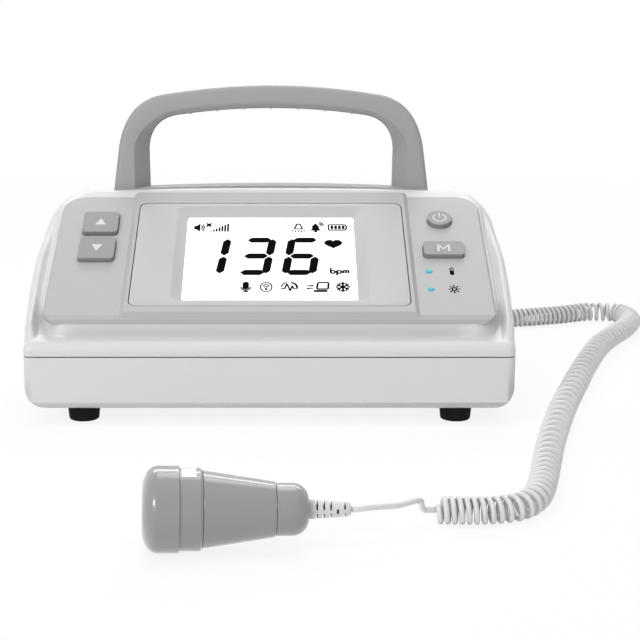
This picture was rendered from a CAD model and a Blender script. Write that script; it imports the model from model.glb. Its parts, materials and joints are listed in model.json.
"""Looks of a desktop fetal heartbeat monitor with its probe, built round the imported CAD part."""

import json
import math

import bpy
import bmesh
from mathutils import Matrix, Vector


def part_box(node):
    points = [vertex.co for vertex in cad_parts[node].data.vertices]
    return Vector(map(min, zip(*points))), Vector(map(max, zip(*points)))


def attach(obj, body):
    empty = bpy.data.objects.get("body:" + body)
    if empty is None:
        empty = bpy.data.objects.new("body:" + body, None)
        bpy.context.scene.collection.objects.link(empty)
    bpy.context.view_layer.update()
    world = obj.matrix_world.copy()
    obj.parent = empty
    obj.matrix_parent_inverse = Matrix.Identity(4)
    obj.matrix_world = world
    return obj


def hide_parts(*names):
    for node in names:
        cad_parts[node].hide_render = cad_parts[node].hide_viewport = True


# ---- Frame and camera
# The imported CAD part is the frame. Lengths are in millimetres until place() makes them metres, and y
# counts from the case's front face. The camera looks down a little, from just right of the middle.
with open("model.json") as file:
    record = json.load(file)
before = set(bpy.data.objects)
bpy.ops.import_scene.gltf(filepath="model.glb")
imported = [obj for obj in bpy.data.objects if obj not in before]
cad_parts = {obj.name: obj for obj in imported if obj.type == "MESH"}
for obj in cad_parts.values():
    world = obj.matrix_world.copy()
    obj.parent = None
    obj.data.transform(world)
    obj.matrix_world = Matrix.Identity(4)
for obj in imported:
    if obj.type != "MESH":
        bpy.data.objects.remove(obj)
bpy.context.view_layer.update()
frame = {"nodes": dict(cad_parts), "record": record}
MM = 0.001
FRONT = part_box("lower_case")[0].y / MM
CAMERA_AT = (7.1, -773.5, 222)
CAMERA_DIP = 12


def place(x, y, z):
    """A point from the case's own millimetres to the row frame in metres."""
    return Vector((x, y + FRONT, z)) * MM


def in_scene(name, data):
    """A new object, linked to the scene."""
    made = bpy.data.objects.new(name, data)
    bpy.context.scene.collection.objects.link(made)
    return made


camera = in_scene("camera", bpy.data.cameras.new("camera"))
camera.data.lens = 85
camera.data.sensor_width = 36
camera.data.shift_x = 0.058
camera.data.clip_start = 0.01
camera.location = place(*CAMERA_AT)
camera.rotation_euler = (math.radians(90 - CAMERA_DIP), 0, 0)
bpy.context.scene.camera = camera


# ---- Cord: lead from the probe, curls, lead to the case
# One round cable of soft plastic, wound into curls for most of its length. It leaves the gland in the
# rear wall, lies on the table all the way, and runs into the bend relief at the probe's tail.
def add_node(tree, kind, settings=None, output=0, **inputs):
    """Adds a node to any tree: its settings first, then a value or a link for each socket.

    A socket goes by its name, or by i and its number where names repeat.
    """
    made = tree.nodes.new(kind)
    for key, value in (settings or {}).items():
        setattr(made, key, value)
    for key, value in inputs.items():
        socket = made.inputs[int(key[1:])] if key[0] == "i" and key[1:].isdigit() else made.inputs[key]
        if isinstance(value, bpy.types.NodeSocket):
            tree.links.new(value, socket)
        else:
            socket.default_value = value
    return made.outputs[output]


class Finish:
    """A material in the making, whose shader sums read as Python."""

    def __init__(self, name, colour=(0.8, 0.8, 0.8), rough=0.5):
        self.material = bpy.data.materials.new(name)
        self.material.use_nodes = True
        self.tree = self.material.node_tree
        self.shader = self.tree.nodes["Principled BSDF"]
        self.set(Base_Color=(*colour, 1), Roughness=rough)

    def set(self, **values):
        """Gives the shader plain values, with underscores for the spaces in their names."""
        for key, value in values.items():
            self.shader.inputs[key.replace("_", " ")].default_value = value

    def node(self, kind, settings=None, output=0, **inputs):
        inputs = {key: value.socket if isinstance(value, Sum) else value for key, value in inputs.items()}
        return Sum(self, add_node(self.tree, "ShaderNode" + kind, settings, output, **inputs))

    def feed(self, name, value):
        self.tree.links.new(value.socket, self.shader.inputs[name])

    def here(self):
        return self.node("TexCoord", output="Object")

    def noise(self, scale, detail=2.0):
        return self.node("TexNoise", Vector=self.here(), Scale=scale, Detail=detail)

    def tint(self, amount, first, second):
        """A colour between two, by amount."""
        return self.node("Mix", {"data_type": "RGBA"}, 2, i0=amount, i6=(*first, 1), i7=(*second, 1))

    def relief(self, height, depth, strength=1.0):
        self.feed("Normal", self.node("Bump", Height=height, Distance=depth, Strength=strength))


class Sum:
    """One socket of a shader tree, with the operators that shader sums need."""

    def __init__(self, finish, socket):
        self.finish = finish
        self.socket = socket

    def _maths(self, operation, first, second):
        return self.finish.node("Math", {"operation": operation}, i0=first, i1=second)

    def __add__(self, other):
        return self._maths("ADD", self, other)

    def __mul__(self, other):
        return self._maths("MULTIPLY", self, other)

    def __sub__(self, other):
        return self._maths("SUBTRACT", self, other)

    def __rsub__(self, other):
        return self._maths("SUBTRACT", other, self)

    __radd__ = __add__
    __rmul__ = __mul__


def shade(colour, share):
    return tuple(part * share for part in colour)


def ease(low, high, value):
    """Nought up to low, one from high on, with a soft start and end between them."""
    t = min(1, max(0, (value - low) / (high - low)))
    return t * t * (3 - 2 * t)


DRIFT_SCALE, CLOUD_SCALE, GRAIN_SCALE = 14, 90, 2200
GRAIN_DEPTH = 0.00004


def moulded(name, colour, rough, grain=0.5, speck=0.04, dust=0.12, reach=0.006):
    """Moulded plastic: fine spark-eroded grain, slow drift of tone and gloss, a little dust in its corners."""
    finish = Finish(name, colour, rough)
    drift = finish.noise(DRIFT_SCALE, 3)
    fine = finish.noise(GRAIN_SCALE, 3)
    cloud = finish.noise(CLOUD_SCALE, 2)
    open_air = finish.node("AmbientOcclusion", {"samples": 8}, "AO", Distance=reach)
    clean = finish.tint(drift * 0.35 + fine * 0.65, shade(colour, 1 - speck), shade(colour, 1 + speck / 2))
    dusty = finish.tint(open_air, (1 - dust,) * 3, (1, 1, 1))
    finish.feed("Base Color", finish.node("Mix", {"data_type": "RGBA", "blend_type": "MULTIPLY"}, 2,
                                          i0=1.0, i6=clean, i7=dusty))
    finish.feed("Roughness", (cloud - 0.5) * 0.06 + rough)
    finish.relief(fine * 0.7 + cloud * 0.3, GRAIN_DEPTH * grain, 0.6)
    return finish


PROBE_AT = (-50.5, -187)
PROBE_TURN = math.radians(5)
PROBE_TILT = math.radians(1.7)
HEAD_D, HEAD_LEN = 35.6, 15.2
PROBE_LEN, RELIEF_LEN = 68.6, 17.4
PROBE_GAP, CURL_GAP = 0.15, 0.2
PROBE_Z = HEAD_D / 2 * math.cos(PROBE_TILT) + HEAD_LEN * math.sin(PROBE_TILT) + PROBE_GAP
PROBE_TURNED = (
    Matrix.Translation((*PROBE_AT, PROBE_Z))
    @ Matrix.Rotation(PROBE_TURN, 4, "Z") @ Matrix.Rotation(PROBE_TILT, 4, "Y")
)

CABLE_D = 2.5
CURL_D = 12.8
OUTLET = Vector((66, 138, 24))
GLAND_LEN = 12
# The curls' axis: across, back, the curls' pitch there, and their size beside CURL_D.
CORD_ROUTE = [
    (73, -153, 3.1, 0.95), (85, -153.6, 3.1, 0.95), (98, -153, 3.5, 0.95), (110, -148.6, 4.7, 0.98),
    (119, -137, 5.2, 1.03), (125, -118, 6, 1.08), (132, -88, 8.4, 1.12), (141, -50, 9.6, 1.16),
    (157, 8, 10, 1.18), (174, 62, 10, 1.18), (191, 114, 9.6, 1.16), (208, 160, 8.4, 1.13),
    (224, 192, 6.8, 1.1), (237, 216, 5.4, 1.08), (245.5, 241, 5, 1.06), (241, 264, 5, 1.04),
    (221, 267.5, 4.4, 1.02), (200, 258, 3.6, 1), (178, 250, 3.5, 1), (160, 245, 3.6, 1),
]
FRONT_LEAD = [(44, -176, 15.4), (55, -169.5, 14), (62.5, -163, 13.6), (66, -158, 12.2), (66.8, -154.6, 9.2)]
REAR_LEAD = [(146, 239, 6.4), (130, 229, 4.6), (108, 210, 4.6), (88, 190, 9), (75, 172, 17), (68.5, 161, 22)]
CURL_SAMPLES, AXIS_STEPS, LEAD_STEPS = 24, 12, 8
# The turns over which a curl opens from its axis, at either end.
RUN_IN = 0.75


def smooth(points, steps):
    """A smooth curve through points, with so many steps to a span."""
    points = [Vector(point) for point in points]
    last = len(points) - 1
    line = []
    for i in range(last):
        before = points[i - 1] if i else 2 * points[0] - points[1]
        after = points[i + 2] if i < last - 1 else 2 * points[last] - points[last - 1]
        here, there = points[i], points[i + 1]
        for j in range(steps):
            t = j / steps
            line.append(0.5 * (2 * here + t * (there - before) + t * t * (2 * before - 5 * here + 4 * there - after)
                               + t ** 3 * (3 * here - before - 3 * there + after)))
    return line + [points[last]]


curl_axis = smooth(CORD_ROUTE, AXIS_STEPS)
turns = [0.0]
for here, there in zip(curl_axis, curl_axis[1:]):
    turns.append(turns[-1] + (there.xy - here.xy).length * 2 / (here[2] + there[2]))
curl_count = math.floor(turns[-1])
turns = [turn * curl_count / turns[-1] for turn in turns]
curl_r = (CURL_D - CABLE_D) / 2


def axis_at(turn):
    """The curls' axis and their size after so many turns."""
    turn = min(max(turn, 0), curl_count)
    k = next((i for i in range(1, len(turns)) if turns[i] >= turn), len(turns) - 1)
    part = (turn - turns[k - 1]) / (turns[k] - turns[k - 1])
    point = curl_axis[k - 1].lerp(curl_axis[k], part)
    return Vector((point[0], point[1], curl_r * point[3] + CABLE_D / 2 + CURL_GAP)), point[3]


def curl_frame(turn):
    """The ways ahead, sideways and up on the curls' axis."""
    ahead = (axis_at(turn + 0.05)[0] - axis_at(turn - 0.05)[0]).normalized()
    side = Vector((0, 0, 1)).cross(ahead).normalized()
    return ahead, side, ahead.cross(side)


curl_line = []
for i in range(curl_count * CURL_SAMPLES + 1):
    turn = i / CURL_SAMPLES
    centre, size = axis_at(turn)
    ahead, side, rise = curl_frame(turn)
    out = math.cos(math.tau * turn) * side + math.sin(math.tau * turn) * rise
    curl_line.append(centre + curl_r * size * ease(0, RUN_IN, min(turn, curl_count - turn)) * out)

probe_ahead = (PROBE_TURNED.to_3x3() @ Vector((1, 0, 0))).normalized()
relief_end = PROBE_TURNED @ Vector((PROBE_LEN + RELIEF_LEN, 0, 0))
start_way, end_way = curl_frame(0)[0], curl_frame(curl_count)[0]
cord_start = curl_line[0] - CABLE_D * start_way
cord_end = curl_line[-1] + CABLE_D * end_way
outlet_end = OUTLET + Vector((0, GLAND_LEN, 0))
front_lead = smooth([relief_end, relief_end + CABLE_D * probe_ahead, *FRONT_LEAD,
                     cord_start - CABLE_D * start_way, cord_start], LEAD_STEPS)
rear_lead = smooth([cord_end, cord_end + CABLE_D * end_way, *REAR_LEAD,
                    outlet_end + Vector((0, CABLE_D, 0)), outlet_end], LEAD_STEPS)
cord_line = front_lead + curl_line + rear_lead
cord_length = sum((there - here).length for here, there in zip(cord_line, cord_line[1:])) * MM
cord_curve = bpy.data.curves.new("curly_cord_cable", "CURVE")
cord_curve.dimensions = "3D"
cord_curve.bevel_depth = CABLE_D / 2 * MM
cord_curve.bevel_resolution = 3
cord_curve.use_fill_caps = True
spline = cord_curve.splines.new("POLY")
spline.points.add(len(cord_line) - 1)
for point, corner in zip(spline.points, cord_line):
    point.co = (*place(*corner), 1)
cord = in_scene("cord_cable", cord_curve)
cord_skin = moulded("cord_plastic", (0.74, 0.74, 0.75), 0.42, 0.5, 0.05, 0.5, 0.003)
cord_curve.materials.append(cord_skin.material)
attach(cord, "monitor")
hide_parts("front_lead", "curly_cord", "rear_lead")
replaced = {"front_lead", "curly_cord", "rear_lead"}
place(*outlet_end)


# ---- Table and light
# A plain white table that the camera sees as nearly white, with the object's own faint shadow on it.
# A soft key lamp stands upper left in front, with two weak ones near the camera. One hangs above, one
# stands behind, and a strip lamp behind draws the highlight along the probe's upper edge.
def area_lamp(name, spot, aim, size, power, length=0.0, mirrored=True):
    """A soft lamp: round, or a strip along x where a length is given."""
    lamp = in_scene(name, bpy.data.lights.new(name, "AREA"))
    lamp.data.shape = "RECTANGLE" if length else "DISK"
    lamp.data.size = length or size
    lamp.data.size_y = size
    lamp.data.energy = power
    lamp.visible_glossy = mirrored
    lamp.location = spot
    lamp.rotation_euler = (Vector(aim) - Vector(spot)).to_track_quat("-Z", "Y").to_euler()


area_lamp("key_lamp", (-1.15, -1.55, 1.05), (0, 0, 0.06), 0.5, 14)
area_lamp("front_lamp", (0.35, -1.5, 1.1), (0, 0, 0.06), 0.9, 0.8, mirrored=False)
area_lamp("low_lamp", (0.1, -1.5, 0.1), (0, 0, 0.04), 0.5, 1.2, mirrored=False)
area_lamp("back_lamp", (0.15, 0.8, 1.6), (0, 0, 0.06), 0.8, 3.3)
area_lamp("top_lamp", (0, -0.26, 1.25), (0, -0.16, 0), 0.6, 6.2, 1.2, mirrored=False)
area_lamp("edge_lamp", (0, 0.8, 0.74), (0, -0.16, 0.03), 0.17, 3.3, 1.2)

# The room is brighter above and to the left. The camera and mirror rays see it as plain white.
BRIGHT_SIDE = (-0.45, -0.33, 0.76)
ROOM_DARK, ROOM_BRIGHT = 0.08, 0.465
world = bpy.data.worlds.new("room")
world.use_nodes = True
bpy.context.scene.world = world
sky = world.node_tree
sky.nodes["Background"].inputs["Color"].default_value = (1, 1, 1, 1)
in_view = add_node(sky, "ShaderNodeLightPath", output="Is Camera Ray")
for ray in ("Is Transmission Ray", "Is Glossy Ray"):
    in_view = add_node(sky, "ShaderNodeMath", {"operation": "MAXIMUM"}, i0=in_view,
                       i1=add_node(sky, "ShaderNodeLightPath", output=ray))
towards = add_node(sky, "ShaderNodeVectorMath", {"operation": "DOT_PRODUCT"}, "Value",
                   i0=add_node(sky, "ShaderNodeTexCoord", output="Generated"), i1=BRIGHT_SIDE)
lit = add_node(sky, "ShaderNodeMapRange", Value=towards,
               **{"From Min": -0.45, "From Max": 1.0, "To Min": ROOM_DARK, "To Max": ROOM_BRIGHT})
strength = add_node(sky, "ShaderNodeMapRange", Value=in_view, **{"To Min": lit, "To Max": 1.0})
sky.links.new(strength, sky.nodes["Background"].inputs["Strength"])

table_mesh = bpy.data.meshes.new("table_top")
TABLE_SIDE, TABLE_NEAR, TABLE_FAR = 9, -3, 30
table_mesh.from_pydata([(-TABLE_SIDE, TABLE_NEAR, 0), (TABLE_SIDE, TABLE_NEAR, 0), (TABLE_SIDE, TABLE_FAR, 0),
                        (-TABLE_SIDE, TABLE_FAR, 0)], [], [(0, 1, 2, 3)])
table = in_scene("table_top", table_mesh)
table.location.z = -0.0002
table_top = Finish("table_white", (0.93, 0.93, 0.93), 0.9)
in_view = table_top.node("LightPath", output="Is Camera Ray") + table_top.node("LightPath", output="Is Glossy Ray")
away = table_top.node("VectorMath", {"operation": "LENGTH"}, "Value", i0=table_top.here())
fade = table_top.node("MapRange", Value=away, **{"From Min": 0.45, "From Max": 1.3, "To Min": 0.86, "To Max": 1.0})
seen = table_top.node("MixShader", i0=in_view * fade, i1=table_top.shader.outputs[0],
                      i2=table_top.node("Emission", Color=(1, 1, 1, 1)))
table_top.tree.links.new(seen.socket, table_top.tree.nodes["Material Output"].inputs[0])
table_mesh.materials.append(table_top.material)
bpy.context.scene.view_settings.view_transform = "Standard"


# ---- Lower case half
# A shallow white tub, injection-moulded in glossy plastic with a fine grain. Its rim meets the upper
# half in a narrow shadow groove.
def finished(mesh, name, finish, slot, *nodes, body="monitor", angle=38):
    """Links a mesh as a piece of the object, in place of CAD nodes."""
    if not mesh.has_custom_normals:
        mesh.shade_smooth()
        mesh.set_sharp_from_angle(angle=math.radians(angle))
    mesh.materials.clear()
    mesh.materials.append(finish.material)
    piece = in_scene(name, mesh)
    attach(piece, body)
    if nodes:
        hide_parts(*nodes)
        replaced.update(nodes)


def worked(mesh, *steps):
    """A mesh after a row of modifiers, each given as its kind and its settings."""
    holder = in_scene("holder", mesh)
    for kind, settings in steps:
        modifier = holder.modifiers.new(kind.lower(), kind)
        for key, value in settings.items():
            if hasattr(modifier, key):
                setattr(modifier, key, value)
            else:
                modifier[key] = value
    result = bpy.data.meshes.new_from_object(holder.evaluated_get(bpy.context.evaluated_depsgraph_get()))
    bpy.data.objects.remove(holder)
    return result


def as_mesh(shape, name, outward=False):
    """A mesh from a shape in the making, with its faces turned outwards if asked."""
    if outward:
        bmesh.ops.recalc_face_normals(shape, faces=shape.faces)
    mesh = bpy.data.meshes.new(name)
    shape.to_mesh(mesh)
    shape.free()
    return mesh


MERGE_D = 0.00002
FLAT_ANGLE = math.radians(1.2)


def cad_copy(node, width=0.0, segments=3, limit=28, change=None, crisp=38):
    """A CAD node's mesh with merged corners and, where a width is given, rounded edges."""
    shape = bmesh.new()
    shape.from_mesh(frame["nodes"][node].data)
    bmesh.ops.remove_doubles(shape, verts=shape.verts, dist=MERGE_D)
    bmesh.ops.dissolve_limit(shape, angle_limit=FLAT_ANGLE, verts=shape.verts, edges=shape.edges)
    if change:
        change(shape)
    mesh = as_mesh(shape, node + "_copy")
    if not width:
        return mesh
    mesh.shade_smooth()
    mesh.set_sharp_from_angle(angle=math.radians(crisp))
    bevel = {"width": width * MM, "segments": segments, "limit_method": "ANGLE",
             "angle_limit": math.radians(limit), "miter_outer": "MITER_ARC"}
    return worked(mesh, ("BEVEL", bevel), ("WEIGHTED_NORMAL", {"keep_sharp": True, "weight": 80}))


CASE_W, CASE_D = 260, 138
FRONT_R, REAR_R, SIDE_BULGE = 4, 36, 1.8
SLOPE = math.radians(26.75)
PANEL_Y, PANEL_Z = 11.5, 57.9
COVER_W, COVER_LEN = 242, 111.05
SHELF_Y, SHELF_Z, CREST_Z = 122, 104.66, 110.66


def on_panel(x, s, n=0.0):
    """A point on the control panel: across, up the slope, and above the wings."""
    return place(x, PANEL_Y + s * math.cos(SLOPE) - n * math.sin(SLOPE),
                 PANEL_Z + s * math.sin(SLOPE) + n * math.cos(SLOPE))


def bulge(y):
    """How far the sides stand out in the middle of their length."""
    return SIDE_BULGE * ease(0, 50, y) * (1 - ease(60, 125, y))


def half_width(y):
    """Half the case's width at a distance from its front."""
    half = CASE_W / 2
    if y < FRONT_R:
        return half - FRONT_R + math.sqrt(max(0, FRONT_R ** 2 - (FRONT_R - y) ** 2))
    if y > CASE_D - REAR_R:
        return half - REAR_R + math.sqrt(max(0, REAR_R ** 2 - (y - CASE_D + REAR_R) ** 2))
    return half


WHITE = (0.69, 0.692, 0.696)
white_plastic = moulded("white_case_plastic", WHITE, 0.34, 0.4, 0.03, 0.2, 0.012)
white_plastic.set(Coat_Weight=0.15, Coat_Roughness=0.2)
SEAM_Z, SEAM_GAP = 37.5, 0.3
SIDE_X = 100


def open_seam(shape):
    """Lets the sides stand out, and lowers the rim a little so that the seam shows as a dark line."""
    for y in range(8, 130, 6):
        bmesh.ops.bisect_plane(shape, geom=shape.verts[:] + shape.edges[:] + shape.faces[:],
                               plane_co=place(0, y, 0), plane_no=(0, 1, 0))
    for corner in shape.verts:
        if abs(corner.co.x) > SIDE_X * MM:
            corner.co.x *= 1 + bulge(corner.co.y / MM - FRONT) / (CASE_W / 2)
        if corner.co.z > (SEAM_Z - 0.1) * MM:
            corner.co.z -= SEAM_GAP * MM


finished(cad_copy("lower_case", change=open_seam), "case_tub", white_plastic, "white_plastic", "lower_case")


# ---- Upper case half
# A white moulding whose top follows the sloping panel: a shoulder in front, a soft rim with a shallow
# valley round the panel, and a crest across the back that ends in the handle's shelf.
def edge_gap(x, y, half_w, y_low, y_high, r_low, r_high):
    """How far a point lies inside a rectangle with round corners."""
    middle = (y_low + y_high) / 2
    r = r_low if y < middle else r_high
    dx = abs(x) - (half_w - r)
    dy = (y_low + r) - y if y < middle else y - (y_high - r)
    outside = math.hypot(max(dx, 0), max(dy, 0))
    return r - outside - min(max(dx, dy), 0)


# Where the rim, the valley inside it and the pad run: how far below the wings' plane in front, and how
# much of that they make up at the back.
RIM_DROP, RIM_RISE = 4.1, 3.5
VALLEY_DROP, VALLEY_RISE = 7, 6.4
PAD_DROP, PAD_RISE = 3.4, 2.9
RIM_W, VALLEY_IN = 3.1, 7.0
PAD_MARGIN, PAD_FRONT, PAD_END, PAD_FRONT_R, PAD_REAR_R = 0.9, 9.6, 150, 14, 20
LEDGE_Z, LEDGE_SLOPE = 45.4, 0.2
RIM_START, RIM_END, VALLEY_START, VALLEY_END, BACK_START, BACK_END = 5, 14, 8, 34, 82, 112
CREST_ARCH, CREST_R = 1.7, 3
SIDE_R, SIDE_R_GROWTH = 4.2, 13


def shell_height(x, y):
    """Height of the upper half's skin above the table."""
    wing = PANEL_Z + (y - PANEL_Y) * math.tan(SLOPE)
    back = ease(BACK_START, BACK_END, y)
    edge = edge_gap(x, y, CASE_W / 2, 0, CASE_D, FRONT_R, REAR_R)
    pad_gap = edge_gap(x, y, COVER_W / 2 + PAD_MARGIN, PAD_FRONT, PAD_END, PAD_FRONT_R, PAD_REAR_R)
    ledge = LEDGE_Z + LEDGE_SLOPE * (y - FRONT_R)
    rim = ledge + (wing - RIM_DROP + RIM_RISE * back - ledge) * ease(RIM_START, RIM_END, y)
    valley = ledge + (wing - VALLEY_DROP + VALLEY_RISE * back - ledge) * ease(VALLEY_START, VALLEY_END, y)
    top = rim + (valley - rim) * ease(RIM_W, VALLEY_IN, edge)
    foot = 1.0 + 0.8 * (1 - ease(10, 34, y))
    pad = wing - PAD_DROP + PAD_RISE * back
    top += (max(pad, top) - top) * ease(-foot, 0.1, pad_gap)
    arch = CREST_ARCH * max(0, 1 - (x / 100) ** 2) * ease(SHELF_Y - 14, SHELF_Y - 6, y)
    if y > SHELF_Y - 12:
        top = max(top, wing - 0.5)
    top = min(top, CREST_Z) + arch
    if y > SHELF_Y - CREST_R:
        share = min(1, (y - SHELF_Y + CREST_R) / CREST_R)
        top = min(top, CREST_Z + arch - CREST_R * (1 - math.sqrt(1 - share ** 2)))
    if y >= SHELF_Y:
        top = SHELF_Z
    radius = SIDE_R + SIDE_R_GROWTH * ease(62, 122, y)
    if edge < radius:
        top -= radius * (1 - math.sqrt(max(0, 1 - (1 - max(edge, 0) / radius) ** 2)))
    return top


def spaced(*spans):
    """Numbers in spans of (from, to, steps), each run on from the one before."""
    row = []
    for low, high, steps in spans:
        row += [low + (high - low) * i / steps for i in range(steps)]
    return row + [spans[-1][1]]


def rounded_steps(size, steps):
    """Distances from an edge, closest together at the edge itself."""
    return [size * (1 - math.cos(math.pi / 2 * i / steps)) for i in range(steps)]


depths = rounded_steps(4, 8) + spaced((4, 12, 34), (12, 34, 26), (34, 100, 34), (100, 119, 20),
                                      (119, SHELF_Y - 0.001, 14), (SHELF_Y, 130, 6))
depths += [CASE_D - step for step in reversed([0.0] + rounded_steps(8, 10)[1:])]
across = [0.0] + spaced((12, 96, 14), (96, 112, 14), (112, 120, 12), (120, 121.9, 8))
EDGE_W = 8
COVE = 2.3
# The opening under the cover: half its width, and its start and end up the slope.
OPENING_X, OPENING_LOW, OPENING_HIGH = 111.5, 7, 101
shell_shape = bmesh.new()
rows = []
for y in depths:
    limit = half_width(y)
    flat = [x * min(1, (limit - EDGE_W) / (CASE_W / 2 - EDGE_W)) for x in across]
    turned = [limit - EDGE_W + step for step in spaced((0, 2.4, 11), (2.4, 5, 7))]
    turned += [limit - step for step in reversed(rounded_steps(3, 10)[:-1])]
    side = flat + turned
    row = [-x for x in reversed(side[1:])] + side
    row = [(x, math.copysign(bulge(y) * ease(116, 128, abs(x)), x)) for x in row]
    cove = COVE * ease(6.9, 8, y) * (1 - ease(8, 9.7, y))
    rows.append([
        shell_shape.verts.new(place(x + out, y + cove * (1 - ease(98, 110, abs(x))), shell_height(x, y)))
        for x, out in row
    ])
for lower, upper in zip(rows, rows[1:]):
    for k in range(len(lower) - 1):
        middle = (lower[k].co + lower[k + 1].co + upper[k].co + upper[k + 1].co) / 4
        up_slope = (middle.y / MM - FRONT - PANEL_Y) / math.cos(SLOPE)
        if abs(middle.x) > OPENING_X * MM or not OPENING_LOW < up_slope < OPENING_HIGH:
            shell_shape.faces.new((lower[k], lower[k + 1], upper[k + 1], upper[k]))
rim = rows[0] + [row[-1] for row in rows[1:]] + rows[-1][-2::-1] + [row[0] for row in rows[-2:0:-1]]
skirt = rim
for drop in (0.33, 0.66, 1.0):
    lower_rim = []
    for corner in rim:
        down = corner.co.copy()
        down.z += ((SEAM_Z + SEAM_GAP) * MM - down.z) * drop
        lower_rim.append(shell_shape.verts.new(down))
    for k in range(len(rim)):
        shell_shape.faces.new((lower_rim[k - 1], lower_rim[k], skirt[k], skirt[k - 1]))
    skirt = lower_rim
bmesh.ops.remove_doubles(shell_shape, verts=shell_shape.verts, dist=MERGE_D / 2)
shell_mesh = as_mesh(shell_shape, "upper_shell", outward=True)


def rounded_bar(length, width, depth, steps=6):
    """A bar along x with round ends, for a slot."""
    shape = bmesh.new()
    turns = [math.pi * (i / steps - 0.5) for i in range(steps + 1)]
    side = [((length - width) / 2 + width / 2 * math.cos(a), width / 2 * math.sin(a)) for a in turns]
    side += [(-x, z) for x, z in reversed(side)]
    front = [shape.verts.new(Vector((x, -depth / 2, z)) * MM) for x, z in side]
    back = [shape.verts.new(Vector((x, depth / 2, z)) * MM) for x, z in side]
    shape.faces.new(front)
    shape.faces.new(back[::-1])
    for k in range(len(side)):
        shape.faces.new((front[k - 1], back[k - 1], back[k], front[k]))
    return as_mesh(shape, "rounded_bar", outward=True)


# One tree sets out every row on the object: copies of a piece in equal steps. They may grow shorter
# away from the middle, by Reach, or follow an arc, by Sag.
row_tree = bpy.data.node_groups.new("row_of_pieces", "GeometryNodeTree")
sockets = {"Piece": "Object", "Count": "Int", "First": "Vector", "Step": "Vector", "Sag": "Vector",
           "Turn": "Vector", "Reach": "Float", "Finish": "Material"}
row_inputs = {}
for label, kind in sockets.items():
    socket = row_tree.interface.new_socket(label, in_out="INPUT", socket_type="NodeSocket" + kind)
    row_inputs[label] = socket.identifier
row_tree.interface.new_socket("Geometry", in_out="OUTPUT", socket_type="NodeSocketGeometry")
given = row_tree.nodes.new("NodeGroupInput").outputs


def row_maths(operation, first, second=0.0):
    return add_node(row_tree, "ShaderNodeMath", {"operation": operation}, i0=first, i1=second)


middle = row_maths("MULTIPLY", row_maths("SUBTRACT", given["Count"], 1.0), 0.5)
squared = row_maths("POWER", row_maths("SUBTRACT", add_node(row_tree, "GeometryNodeInputIndex"), middle), 2.0)
length = row_maths("SQRT", row_maths("SUBTRACT", 1.0, row_maths("MULTIPLY", squared, given["Reach"])))
line = add_node(row_tree, "GeometryNodeMeshLine", Count=given["Count"], Offset=given["Step"],
                **{"Start Location": given["First"]})
sag = add_node(row_tree, "ShaderNodeVectorMath", {"operation": "SCALE"}, i0=given["Sag"], Scale=squared)
arched = add_node(row_tree, "GeometryNodeSetPosition", Geometry=line, Offset=sag)
placed = add_node(row_tree, "GeometryNodeObjectInfo", output="Geometry", Object=given["Piece"])
set_out = add_node(row_tree, "GeometryNodeInstanceOnPoints", Points=arched, Instance=placed,
                   Rotation=add_node(row_tree, "FunctionNodeEulerToRotation", Euler=given["Turn"]),
                   Scale=add_node(row_tree, "ShaderNodeCombineXYZ", X=length, Y=1.0, Z=1.0))
solid = add_node(row_tree, "GeometryNodeRealizeInstances", Geometry=set_out)
dressed = add_node(row_tree, "GeometryNodeSetMaterial", Geometry=solid, Material=given["Finish"])
row_tree.links.new(dressed, row_tree.nodes.new("NodeGroupOutput").inputs[0])


def in_row(piece_mesh, finish, count, first, step, sag=(0, 0, 0), turn=(0, 0, 0), reach=0.0):
    """A row of copies of a small mesh, as one mesh."""
    piece = in_scene("row_piece", piece_mesh)
    values = {"Piece": piece, "Count": count, "First": tuple(first), "Step": tuple(step), "Sag": tuple(sag),
              "Turn": tuple(turn), "Reach": reach, "Finish": finish.material}
    settings = {"node_group": row_tree, **{row_inputs[label]: value for label, value in values.items()}}
    mesh = worked(bpy.data.meshes.new("row"), ("NODES", settings))
    bpy.data.objects.remove(piece)
    return mesh


def cut_by(mesh, cutter_mesh, *before):
    """A mesh less another, after any modifiers that come before the cut."""
    cutter = in_scene("cutter", cutter_mesh)
    cut = {"operation": "DIFFERENCE", "solver": "EXACT", "object": cutter}
    result = worked(mesh, *before, ("BOOLEAN", cut))
    bpy.data.objects.remove(cutter)
    return result


SLOTS, SLOT_PITCH, SLOT_H, SLOT_DEPTH = 7, 6, 2.4, 14
SPEAKER_X, SPEAKER_Z, SPEAKER_R = -40, SEAM_Z + 33, 23
WALL = 2.2
slots = in_row(rounded_bar(2 * SPEAKER_R, SLOT_H, SLOT_DEPTH), white_plastic, SLOTS,
               place(SPEAKER_X, CASE_D, SPEAKER_Z - SLOT_PITCH * (SLOTS - 1) / 2), (0, 0, SLOT_PITCH * MM),
               reach=(SLOT_PITCH / SPEAKER_R) ** 2)
shell_mesh = cut_by(shell_mesh, slots, ("SOLIDIFY", {"thickness": WALL * MM, "offset": -1}))
finished(shell_mesh, "case_top", white_plastic, "white_plastic", "upper_case", angle=50)

# ---- Panel cover and display bezel
# Pale grey mouldings in a satin finish. The cover's middle is raised and the bezel sits in it with a
# hairline gap, with four slopes that fall to the lit window.
PALE = (0.45, 0.45, 0.452)
pale_plastic = moulded("pale_grey_plastic", PALE, 0.42, 0.6, 0.03)
finished(cad_copy("top_cover", 0.3, 2, limit=15, crisp=14), "panel_cover", pale_plastic, "pale_grey_plastic",
         "top_cover")
bezel_plastic = moulded("bezel_plastic", shade(PALE, 1.14), 0.42, 0.6, 0.03)


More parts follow.
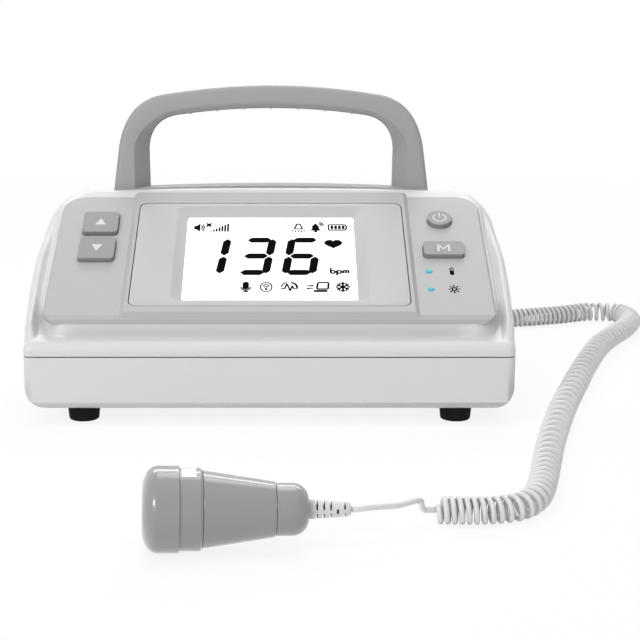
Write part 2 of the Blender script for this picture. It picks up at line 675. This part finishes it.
def plate_loop(x, low, high, r, n, steps=8):
    """A closed loop on the panel: a rectangle with round corners, from low to high up the slope."""
    loop = []
    for cx, cs, start in ((x - r, high - r, 0), (r - x, high - r, 90), (r - x, low + r, 180), (x - r, low + r, 270)):
        for i in range(steps + 1):
            a = math.radians(start + 90 * i / steps)
            loop.append(on_panel(cx + r * math.cos(a), cs + r * math.sin(a), n))
    return loop


def strung(loops, closed=False):
    """A skin over a row of loops with equal numbers of points."""
    shape = bmesh.new()
    rings = [[shape.verts.new(point) for point in loop] for loop in loops]
    pairs = list(zip(rings, rings[1:])) + ([(rings[-1], rings[0])] if closed else [])
    for here, there in pairs:
        for k in range(len(here)):
            shape.faces.new((here[k - 1], here[k], there[k], there[k - 1]))
    if not closed:
        shape.faces.new(rings[0][::-1])
        shape.faces.new(rings[-1])
    return as_mesh(shape, "strung", outward=True)


RISE, UNDER = 2, -1.1
BEZEL_X, BEZEL_LOW, BEZEL_HIGH = 75.45, 5.45, COVER_LEN - 9.45
LCD_X, LCD_LOW, LCD_HIGH = 47.8, 13.2, 91.9


def bezel_edge(inset, r, n):
    return BEZEL_X - inset, BEZEL_LOW + inset, BEZEL_HIGH - inset, r, n


# From under the rim over its rounded edge, across the face, and down the slopes to the window.
bezel_loops = [
    (BEZEL_X - 8, BEZEL_LOW + 4, BEZEL_HIGH - 4, 4, UNDER), bezel_edge(0, 4.2, UNDER),
    bezel_edge(0, 4.2, RISE - 0.35), bezel_edge(0.1, 4.1, RISE - 0.1), bezel_edge(0.35, 3.9, RISE),
    (LCD_X + 6.3, 9.5, 98.9, 5.2, RISE), (LCD_X + 5.6, 10, 98.4, 4.8, RISE - 0.1),
    (LCD_X + 5.0, 10.3, 97.8, 4.4, RISE - 0.4), (LCD_X + 1.5, 11.9, 93.5, 2.4, 0.1),
    (LCD_X + 0.8, 12.4, 92.7, 1.9, -0.15), (LCD_X + 0.3, 12.9, 92.2, 1.4, -0.25),
    (LCD_X + 0.05, 13.15, 91.95, 1.2, -0.5), (LCD_X, LCD_LOW, LCD_HIGH, 1.2, UNDER),
]
finished(strung([plate_loop(*loop) for loop in bezel_loops], closed=True), "display_surround", bezel_plastic,
         "pale_grey_plastic", "display_bezel", angle=30)

# ---- Display
# A lit white window behind clear plastic. Its signs are flat shapes: the rate in seven-segment
# figures, a heart, a unit, and two rows of small symbols.
window_light = Finish("display_white", (0.93, 0.94, 0.95), 0.25)
window_light.set(Emission_Color=(0.97, 0.99, 1, 1), Emission_Strength=0.42)
finished(cad_copy("lcd_glass"), "display_window", window_light, "display", "lcd_glass")


class Flat:
    """Flat shapes on the panel, gathered into one mesh at one height above the wings."""

    def __init__(self, height, thick=0.08, bold=1.0):
        self.height = height
        self.thick = thick
        self.bold = bold
        self.shape = bmesh.new()

    def area(self, points):
        """A filled outline, as a thin plate."""
        low = [self.shape.verts.new(on_panel(x, s, self.height)) for x, s in points]
        high = [self.shape.verts.new(on_panel(x, s, self.height + self.thick)) for x, s in points]
        self.shape.faces.new(low[::-1])
        self.shape.faces.new(high)
        for k in range(len(points)):
            self.shape.faces.new((low[k - 1], low[k], high[k], high[k - 1]))

    def line(self, points, width):
        """Straight strokes from point to point."""
        width *= self.bold
        for (x1, s1), (x2, s2) in zip(points, points[1:]):
            long = math.hypot(x2 - x1, s2 - s1) or 1
            dx, ds = (x2 - x1) / long * width / 2, (s2 - s1) / long * width / 2
            self.area([(x1 - ds, s1 + dx), (x1 + ds, s1 - dx), (x2 + ds, s2 - dx), (x2 - ds, s2 + dx)])

    def arc(self, x, s, r, start, end, width, rs=None, steps=20):
        """A round stroke between two angles in degrees, or an oval one where rs is given."""
        rs = rs or r
        width *= self.bold
        angles = [math.radians(start + (end - start) * i / steps) for i in range(steps + 1)]
        outer = [(x + (r + width / 2) * math.cos(a), s + (rs + width / 2) * math.sin(a)) for a in angles]
        inner = [(x + (r - width / 2) * math.cos(a), s + (rs - width / 2) * math.sin(a)) for a in angles]
        for k in range(steps):
            self.area([outer[k], outer[k + 1], inner[k + 1], inner[k]])

    def disc(self, x, s, r, rs=None, steps=24):
        rs = rs or r
        turns = [math.tau * i / steps for i in range(steps)]
        self.area([(x + r * math.cos(a), s + rs * math.sin(a)) for a in turns])

    def mesh(self, name):
        return as_mesh(self.shape, name, outward=True)


WINDOW_N = -1.27
signs = Flat(WINDOW_N, bold=1.9)
DIGIT_W, DIGIT_H, LEAN = 19.4, 35.2, 0.12
MIDDLE_S = 54.4
ACROSS_T, ACROSS_IN = 4.7, 2.9
UP_T, UP_IN, UP_END, UP_GAP = 4.5, 2.3, 1.4, 0.5


def segment_figure(x0, lit):
    """One figure of seven segments, leaning to the right."""
    low, high = MIDDLE_S - DIGIT_H / 2, MIDDLE_S + DIGIT_H / 2

    def put(points):
        signs.area([(x + LEAN * (s - MIDDLE_S), s) for x, s in points])

    left, right, t = x0 + ACROSS_IN, x0 + DIGIT_W - ACROSS_IN, ACROSS_T / 2
    for name, s in (("a", high - t), ("g", MIDDLE_S), ("d", low + t)):
        if name in lit:
            put([(left, s), (left + t, s - t), (right - t, s - t), (right, s), (right - t, s + t), (left + t, s + t)])
    left, right, t = x0 + UP_IN, x0 + DIGIT_W - UP_IN, UP_T / 2
    above, below = (MIDDLE_S + UP_GAP, high - UP_END), (low + UP_END, MIDDLE_S - UP_GAP)
    for name, x, (s1, s2) in (("f", left, above), ("b", right, above), ("e", left, below), ("c", right, below)):
        if name in lit:
            put([(x, s1), (x + t, s1 + t), (x + t, s2 - t), (x, s2), (x - t, s2 - t), (x - t, s1 + t)])


segment_figure(-43.1, "bc")
segment_figure(-17.6, "abcdg")
segment_figure(8.1, "acdefg")
# The signs are drawn in the panel's own millimetres: across from its middle, and up its slope.
# heart
HEART_X, HEART_S, HEART_R = 35.6, 66.2, 5.0
heart = []
for i in range(48):
    a = math.tau * i / 48
    up = 0.8125 * math.cos(a) - 0.22 * math.cos(2 * a) - 0.125 * math.cos(3 * a) - 0.0625 * math.cos(4 * a)
    heart.append((HEART_X + 5.1 * math.sin(a) ** 3, HEART_S + HEART_R * up))
signs.area(heart)
# loudspeaker with a small cross, and seven rising bars
signs.area([(-43.7, 80.2), (-42.4, 80.2), (-40.2, 77.9), (-40.2, 85.9), (-42.4, 83.6), (-43.7, 83.6)])
signs.arc(-40.6, 81.9, 1.5, -50, 50, 0.4, 2.6)
signs.arc(-40.6, 81.9, 2.6, -50, 50, 0.4, 4.2)
signs.line([(-36.7, 82.9), (-34, 86.1)], 0.7)
signs.line([(-36.7, 86.1), (-34, 82.9)], 0.7)
for i in range(7):
    x = -34.6 + 1.62 * i
    top = 78.6 + 1.2 * i
    signs.area([(x, 78), (x + 1.1, 78), (x + 1.1, top), (x, top)])
# lamp, bell, battery
signs.line([(13.6, 80.6), (15.2, 85.4), (16.8, 85.4), (18.4, 80.6), (13.6, 80.6)], 0.5)
for x1, s1, x2, s2 in ((13.2, 79.3, 11.9, 78.2), (14.6, 79, 14.1, 77.5), (16, 79, 16, 77.4), (17.4, 79, 17.9, 77.5),
                       (18.8, 79.3, 20.1, 78.2)):
    signs.line([(x1, s1), (x2, s2)], 0.4)
signs.area([(22.9, 78.9), (28.9, 78.9), (27.9, 80.6), (27.6, 83.4), (26.5, 85), (26.3, 85.8), (25.4, 85.8), (25, 85),
            (23.9, 83.4), (23.8, 80.6)])
signs.disc(25.9, 78, 0.9)
signs.arc(26.9, 83.4, 2.1, 5, 70, 0.5, 2.6)
signs.arc(26.9, 83.4, 3.4, 5, 70, 0.5, 4)
signs.line([(33.2, 79.4), (42.6, 79.4), (43.5, 80.9), (43.5, 83.1), (42.6, 84.7), (33.2, 84.7), (33.2, 79.4)], 0.5)
for i in range(4):
    signs.area([(34.4 + 2.15 * i, 80.4), (36 + 2.15 * i, 80.4), (36 + 2.15 * i, 83.7), (34.4 + 2.15 * i, 83.7)])
# microphone
MIC_X = -13.15
signs.area([(MIC_X + 1.75 * math.cos(a), 27.2 + (1.7 if math.sin(a) > 0 else -1.7) + 1.7 * math.sin(a))
            for a in [math.tau * i / 32 for i in range(32)]])
signs.arc(MIC_X, 26, 2.5, 180, 360, 0.45, 2.9)
signs.line([(MIC_X, 23.4), (MIC_X, 21.9)], 0.5)
signs.line([(MIC_X - 1.45, 21.9), (MIC_X + 1.45, 21.9)], 0.5)
# radio waves in a ring
WAVES_X = -2
signs.arc(WAVES_X, 26, 3.1, 0, 360, 0.4, 4.2, 36)
signs.disc(WAVES_X, 24.1, 0.8, 1.0)
signs.arc(WAVES_X, 24.3, 1.3, 35, 145, 0.45, 2.1)
signs.arc(WAVES_X, 24.3, 2.3, 40, 140, 0.45, 3.9)
# pulse in two brackets
signs.line([(5.9, 24.4), (8, 24.4), (9.3, 28.9), (11.1, 22.5), (12.2, 27.2), (13, 24.4), (15.2, 24.4)], 0.5)
signs.arc(10.5, 25.6, 4.3, 105, 175, 0.45, 4.6)
signs.arc(10.5, 25.6, 4.3, -5, 75, 0.7, 4.6)
# arrows and a screen
signs.line([(20.2, 26.9), (23.6, 26.9), (22.7, 28)], 0.45)
signs.line([(23.6, 24.9), (20.2, 24.9), (21.1, 23.8)], 0.45)
signs.line([(25.6, 24.2), (31.7, 24.2), (32.1, 29.9), (26.2, 29.9), (25.6, 24.2)], 0.6)
signs.line([(23.9, 22.4), (31.3, 22.4)], 0.95)
# six-armed star
STAR_X, STAR_S = 39.8, 26


def star_point(turn, across, up):
    return STAR_X + across * math.cos(turn), STAR_S + up * math.sin(turn)


for i in range(6):
    arm = math.radians(90 + 60 * i)
    signs.line([(STAR_X, STAR_S), star_point(arm, 3.8, 4.4)], 0.6)
    for turn in (-0.45, 0.45):
        signs.line([star_point(arm, 2, 2.5), star_point(arm + turn, 3.7, 4.2)], 0.42)


def letters(flat, text, x, s, high, wide, bold):
    """Small letters from straight strokes and arcs."""
    for letter in text:
        if letter in "bp":
            flat.arc(x + wide / 2, s + high / 2, wide / 2, 0, 360, bold, high / 2, 20)
            stem = (s, s + 2 * high) if letter == "b" else (s - high * 0.8, s + high)
            flat.line([(x, stem[0]), (x, stem[1])], bold)
            x += wide + 1.1
        if letter == "m":
            for k in range(2):
                flat.arc(x + wide * (0.3 + 0.6 * k), s + high * 0.6, wide * 0.3, 0, 180, bold, high * 0.4, 12)
            for k in range(3):
                flat.line([(x + wide * 0.6 * k, s), (x + wide * 0.6 * k, s + high * (1 if k == 0 else 0.65))], bold)


letters(signs, "bpm", 33.5, 38.4, 2.5, 2.4, 0.6)
sign_ink = Finish("display_ink", (0.006, 0.006, 0.007), 0.6)
sign_ink.set(Specular_IOR_Level=0.0)
finished(signs.mesh("display_signs"), "display_signs", sign_ink, "dark_plastic")

# ---- Keys
# Grey keys with soft edges and printed white signs: two square ones left of the display, a round power
# key and a wide key on the right. Each moves on its own slide.
GREY = (0.33, 0.33, 0.333)
key_plastic = moulded("key_plastic", shade(GREY, 0.85), 0.42, 0.8, 0.04)
KEY_X, KEY_TOP = 97, 2.6
COLUMN_MID, KEY_PITCH = 69.95, 25.2
POWER_S, MODE_S = 86.45, 57.05
for node in ("up_key", "down_key", "power_key", "mode_key"):
    finished(cad_copy(node, 0.7, 4), node + "_cap", key_plastic, "grey_plastic", node, body=node)
key_ink = Finish("key_ink", (0.66, 0.66, 0.66), 0.5)
TRIANGLE_X, TRIANGLE_FOOT, TRIANGLE_TIP = 3.1, 3, 3.2
key_signs = {name: Flat(KEY_TOP) for name in ("up", "down", "power", "mode")}
for name, way in (("up", 1), ("down", -1)):
    middle_s = COLUMN_MID + way * KEY_PITCH / 2
    foot_s, tip_s = middle_s - way * TRIANGLE_FOOT, middle_s + way * TRIANGLE_TIP
    key_signs[name].area([(-KEY_X - way * TRIANGLE_X, foot_s), (-KEY_X + way * TRIANGLE_X, foot_s), (-KEY_X, tip_s)])
key_signs["power"].arc(KEY_X, POWER_S, 3.6, 120, 420, 0.8, steps=30)
key_signs["power"].line([(KEY_X, POWER_S + 0.6), (KEY_X, POWER_S + 5)], 0.8)
for x in (KEY_X - 3, KEY_X + 3):
    key_signs["mode"].line([(x, MODE_S - 3.2), (x, MODE_S + 3.2)], 1.3)
key_signs["mode"].line([(KEY_X - 2.9, MODE_S + 3), (KEY_X, MODE_S - 1.4), (KEY_X + 2.9, MODE_S + 3)], 1.2)
for name, sign in key_signs.items():
    finished(sign.mesh(name + "_sign"), name + "_sign", key_ink, "white_mark", body=name + "_key")

# ---- Indicator lamps and their signs
# Two clear cyan lenses in the cover, lit from behind, each with a small dark sign beside it.
lens = Finish("lamp_lens", (0.02, 0.36, 0.42), 0.15)
lens.set(Emission_Color=(0.05, 0.7, 0.85, 1), Emission_Strength=0.1)
finished(cad_copy("lamp_lenses"), "lamp_lens_pair", lens, "lamp_lens", "lamp_lenses")
cover_signs = Flat(0.0)
SIGN_X, BATTERY_S, SUN_S = 100.1, MODE_S - 18.6, MODE_S - 34.6


def battery_box(half_w, low, high):
    """A rectangle on the battery sign's middle line."""
    return [(SIGN_X - half_w, BATTERY_S + low), (SIGN_X + half_w, BATTERY_S + low),
            (SIGN_X + half_w, BATTERY_S + high), (SIGN_X - half_w, BATTERY_S + high)]


case_line = battery_box(0.9, -3, 2.6)
cover_signs.line(case_line + case_line[:1], 0.5)
cover_signs.area(battery_box(0.9, -3, 0.8))
cover_signs.area(battery_box(0.4, 2.6, 3.4))
cover_signs.arc(SIGN_X, SUN_S, 1.2, 0, 360, 0.9, 1.4)
for i in range(8):
    a = math.tau * i / 8
    cover_signs.line([(SIGN_X + 2.0 * math.cos(a), SUN_S + 2.3 * math.sin(a)),
                      (SIGN_X + 3.1 * math.cos(a), SUN_S + 3.7 * math.sin(a))], 0.8)
finished(cover_signs.mesh("cover_signs"), "cover_signs", sign_ink, "dark_plastic")

# ---- Carrying handle
# One grey moulding in a leathery matt grain, hollow underneath with cross ribs, screwed to the shelf
# behind the crest.
handle_plastic = moulded("handle_plastic", shade(GREY, 1.05), 0.5, 1.6, 0.06)
HANDLE_W, HANDLE_H, HANDLE_T, GRIP_H, LEG_W = 190.4, 70, 15, 12.8, 23
LEAN_BACK = math.radians(8)
# How fast the bar falls away from its middle, per square millimetre, and the share of the height
# where a leg's side starts to turn.
BAR_BEND = 0.0013
KNEE = 0.48
HANDLE_Y = SHELF_Y + 8


def handle_side(foot, knee_x, knee_h, turn_x, turn_h, end_x, top):
    """Half of the handle's outline, from a foot up the side and along the arched bar to the middle."""
    knee, turn = Vector((knee_x, knee_h)), Vector((turn_x, turn_h))
    end = Vector((end_x, top - BAR_BEND * end_x ** 2))
    side = [Vector((foot, -4)).lerp(knee, i / 8) for i in range(8)]
    side += [(1 - t) ** 2 * knee + 2 * t * (1 - t) * turn + t * t * end for t in [i / 24 for i in range(24)]]
    return side + [Vector((x, top - BAR_BEND * x ** 2)) for x in [end_x * (1 - i / 16) for i in range(17)]]


def both_sides(half):
    return half + [Vector((-point.x, point.y)) for point in reversed(half[:-1])]


half = HANDLE_W / 2
outer = both_sides(handle_side(half, half - 4.5, HANDLE_H * KNEE, half - 9, HANDLE_H - 7.5, half - 34, HANDLE_H))
inner = both_sides(handle_side(half - LEG_W, half - LEG_W + 1, HANDLE_H * KNEE, half - LEG_W,
                               HANDLE_H - GRIP_H - 5.8, half - LEG_W - 18, HANDLE_H - GRIP_H))


def leaned(x, y, h):
    """A point of the handle: across, back from its middle plane, and up along its lean."""
    h -= 3
    back = y * math.cos(LEAN_BACK) + h * math.sin(LEAN_BACK)
    up = h * math.cos(LEAN_BACK) - y * math.sin(LEAN_BACK)
    return place(x, HANDLE_Y + back, SHELF_Z + max(up, 0.02))


def corner_arc(a, b, r, start, steps=6):
    """A quarter of a circle round (a, b), from an angle in degrees."""
    turns = [math.radians(start + 90 * i / steps) for i in range(steps + 1)]
    return [(a + r * math.cos(turn), b + r * math.sin(turn)) for turn in turns]


def handle_section(width, bar):
    """The section of a leg, where bar is 0, or of the bar, where it is 1: across from outside, and back.

    A leg's inner front corner is a flat slope, and the bar is round there and hollow underneath.
    """
    t, r_out, hollow = HANDLE_T / 2, 3.2, 8.5

    def blend(over, leg):
        return [(width + a * bar + c * (1 - bar), b * bar + d * (1 - bar)) for (a, b), (c, d) in zip(over, leg)]

    slope = [(-8.4, -t), (-8.3, 0.12 - t), (-7, 1.7 - t), (-5.5, 3.5 - t), (-4, 5.3 - t), (-2.6, 7 - t),
             (-1.4, 8.5 - t), (-0.6, 9.5 - t), (0, 10.2 - t)]
    deep = 0.02 + hollow * bar
    low_lip, high_lip = -4 * bar + 3 * (1 - bar), 4 * bar + 4.8 * (1 - bar)
    section = corner_arc(r_out, r_out - t, r_out, 180)
    section += blend(corner_arc(-3.4, 3.4 - t, 3.4, 270, 8), slope)
    section += [(width, low_lip + 0.4 * bar), (width - 0.4 * bar, low_lip + 0.1 + 0.3 * bar),
                (width - deep, low_lip + 0.2 + 0.4 * bar), (width - deep, high_lip - 0.2 - 0.4 * bar),
                (width - 0.4 * bar, high_lip - 0.1 - 0.3 * bar), (width, high_lip - 0.4 * bar)]
    section += blend(corner_arc(-3.4, t - 3.4, 3.4, 0, 8), corner_arc(-2.2, t - 2.2, 2.2, 0, 8))
    return section + corner_arc(r_out, t - r_out, r_out, 90)


handle_rings = []
for out, into in zip(outer, inner):
    width = (into - out).length
    way = (into - out) / width
    bar = ease(0.42, 0.8, (out.y + into.y) / 2 / HANDLE_H)
    handle_rings.append([leaned(out.x + way.x * a, b, out.y + way.y * a) for a, b in handle_section(width, bar)])
finished(strung(handle_rings), "grip_handle", handle_plastic, "grey_plastic", "carry_handle", angle=24)
RIBS, RIB_PITCH, RIB_T, RIB_H = 9, 16.24, 2.2, 7
rib_shape = bmesh.new()
bmesh.ops.create_cube(rib_shape, size=1)
bmesh.ops.scale(rib_shape, verts=rib_shape.verts, vec=Vector((RIB_T, HANDLE_T - 3, RIB_H)) * MM)
bmesh.ops.bevel(rib_shape, geom=rib_shape.edges[:], offset=0.4 * MM, segments=2, affect="EDGES")
rib_mesh = as_mesh(rib_shape, "rib")
rib_middle = leaned(0, 0, HANDLE_H - GRIP_H + 3.1)
rib_sag = (leaned(0, 0, 10) - leaned(0, 0, 11)) * BAR_BEND * RIB_PITCH ** 2
rib_first = rib_middle - Vector((RIB_PITCH * (RIBS - 1) / 2 * MM, 0, 0))
ribs = in_row(rib_mesh, handle_plastic, RIBS, rib_first, (RIB_PITCH * MM, 0, 0), sag=rib_sag,
              turn=(-LEAN_BACK, 0, 0))
finished(ribs, "handle_ribs", handle_plastic, "grey_plastic")
FOOT_BAR_Y, FOOT_BAR_RISE, FOOT_BAR_R = 7.4, 2.7, 1
foot_bar_rings = []
for i in range(41):
    x = (half - 2.4) * (i / 20 - 1)
    top = CREST_Z - SHELF_Z + FOOT_BAR_RISE - 2.0 * min(1, abs(x / 84)) ** 2
    edge_y, shoulder = FOOT_BAR_Y - FOOT_BAR_R, top - FOOT_BAR_R
    turns = [math.radians(a) for a in (0, 30, 60, 90)]
    rear_edge = [(edge_y + FOOT_BAR_R * math.cos(a), shoulder + FOOT_BAR_R * math.sin(a)) for a in turns]
    rear_edge.insert(0, (FOOT_BAR_Y, 0.02))
    outline = [(-y, z) for y, z in rear_edge] + rear_edge[::-1]
    foot_bar_rings.append([place(x, HANDLE_Y + y, SHELF_Z + z) for y, z in outline])
finished(strung(foot_bar_rings), "handle_foot_bar", handle_plastic, "grey_plastic", angle=40)

# ---- Rubber feet
# Four black rubber pads, slightly tapered, with a fine dull grain.
foot_rubber = moulded("foot_rubber", (0.008, 0.008, 0.009), 0.8, 2, 0.2)
foot_rubber.set(Specular_IOR_Level=0.15)
finished(cad_copy("rubber_feet", 0.9, 4), "feet_pads", foot_rubber, "black_rubber", "rubber_feet")

# ---- Probe
# Four turned grey mouldings, glossier than the case and with hairline joints, a white mark on the
# collar, and a pale bend relief with slits where the cable enters.
probe_plastic = moulded("probe_plastic", shade(GREY, 0.8), 0.3, 0.12, 0.02)
probe_plastic.set(Coat_Weight=1.0, Coat_Roughness=0.14)
for node, width in (("probe_head", 0.3), ("probe_collar", 0.35), ("probe_barrel", 0.3), ("probe_tail", 0.3)):
    finished(cad_copy(node, width, 3), node + "_skin", probe_plastic, "probe_plastic", node)
mark_ink = Finish("mark_ink", (0.9, 0.9, 0.9), 0.4)
finished(cad_copy("probe_mark"), "collar_mark", mark_ink, "white_mark", "probe_mark")
RELIEF_R, RELIEF_TIP_R, SLIT, SLIT_PITCH, FIRST_SLIT = 4, 2.9, 0.9, 2.9, 3.0


def ring_on_probe(x, r, steps=32):
    turns = [math.tau * i / steps for i in range(steps)]
    return [place(*(PROBE_TURNED @ Vector((x, r * math.cos(a), r * math.sin(a))))) for a in turns]


def slits(upright, count, first):
    """Cutters for slits in the relief: pairs above and below, or in front and behind."""
    size, reach = ((SLIT, 12, 4), Vector((0, 0, 2.7))) if upright else ((SLIT, 3, 1.9), Vector((0, 2.9, 0)))
    shape = bmesh.new()
    for way in (1, -1):
        made = bmesh.ops.create_cube(shape, size=1)["verts"]
        bmesh.ops.scale(shape, verts=made, vec=Vector(size) * MM)
        bmesh.ops.translate(shape, verts=made, vec=way * reach * MM)
    start = place(*(PROBE_TURNED @ Vector((PROBE_LEN + first, 0, 0))))
    return in_row(as_mesh(shape, "slit"), cord_skin, count, start, probe_ahead * SLIT_PITCH * MM,
                  turn=PROBE_TURNED.to_euler())


relief_profile = [
    (-5, RELIEF_R - 0.4), (-5, RELIEF_R), (0.5, RELIEF_R),
    (RELIEF_LEN - 1, RELIEF_TIP_R), (RELIEF_LEN - 0.3, RELIEF_TIP_R - 0.3), (RELIEF_LEN, RELIEF_TIP_R - 1),
]
relief = strung([ring_on_probe(PROBE_LEN + x, r) for x, r in relief_profile])
for upright, count, before in ((True, 3, 0), (True, 1, 4), (False, 1, 3)):
    relief = cut_by(relief, slits(upright, count, FIRST_SLIT + before * SLIT_PITCH))
relief_skin = moulded("relief_plastic", (0.68, 0.68, 0.69), 0.45, 0.4, 0.04, 0.9, 0.0035)
finished(relief, "bend_relief", relief_skin, "cord_plastic", "probe_relief")
finished(cad_copy("cord_gland", 0.3, 2), "outlet_gland", cord_skin, "cord_plastic", "cord_gland")

# ---- Pieces inside the case, and the screws
# Boards in green lacquer with copper traces, a wrapped battery pack, a paper-cone speaker in a dark
# frame, and bright machine screws. They keep their CAD shapes.
LACQUER, TRACE, TRACE_DEPTH = (0.02, 0.14, 0.06), (0.05, 0.26, 0.11), 0.00004
board_finish = Finish("board_lacquer", LACQUER, 0.35)
traces = board_finish.node("TexBrick", {"offset": 0.5}, output="Fac", Vector=board_finish.here(), Scale=240.0)
board_finish.feed("Base Color", board_finish.tint(traces, LACQUER, TRACE))
board_finish.relief(traces, TRACE_DEPTH)
screw_finish = Finish("screw_steel", (0.62, 0.62, 0.63), 0.3)
screw_finish.set(Metallic=1.0)
screw_finish.feed("Roughness", screw_finish.noise(900, 2) * 0.2 + 0.2)
dark_plastic = moulded("dark_plastic", (0.03, 0.03, 0.032), 0.5, 1, 0.15)
wrap = moulded("battery_wrap", (0.05, 0.12, 0.35), 0.3, 0.4, 0.08)
ceramic = moulded("crystal_ceramic", (0.62, 0.52, 0.30), 0.35, 0.5, 0.06)
finishes = {
    "circuit_board": board_finish, "screw_steel": screw_finish, "dark_plastic": dark_plastic, "battery_wrap": wrap,
    "crystal": ceramic, "white_plastic": white_plastic,
}
slot_of = {entry["node"]: entry["material_slot"] for entry in frame["record"]["subparts"]}
for node, piece in frame["nodes"].items():
    if node not in replaced:
        piece.data.materials.clear()
        piece.data.materials.append(finishes[slot_of[node]].material)
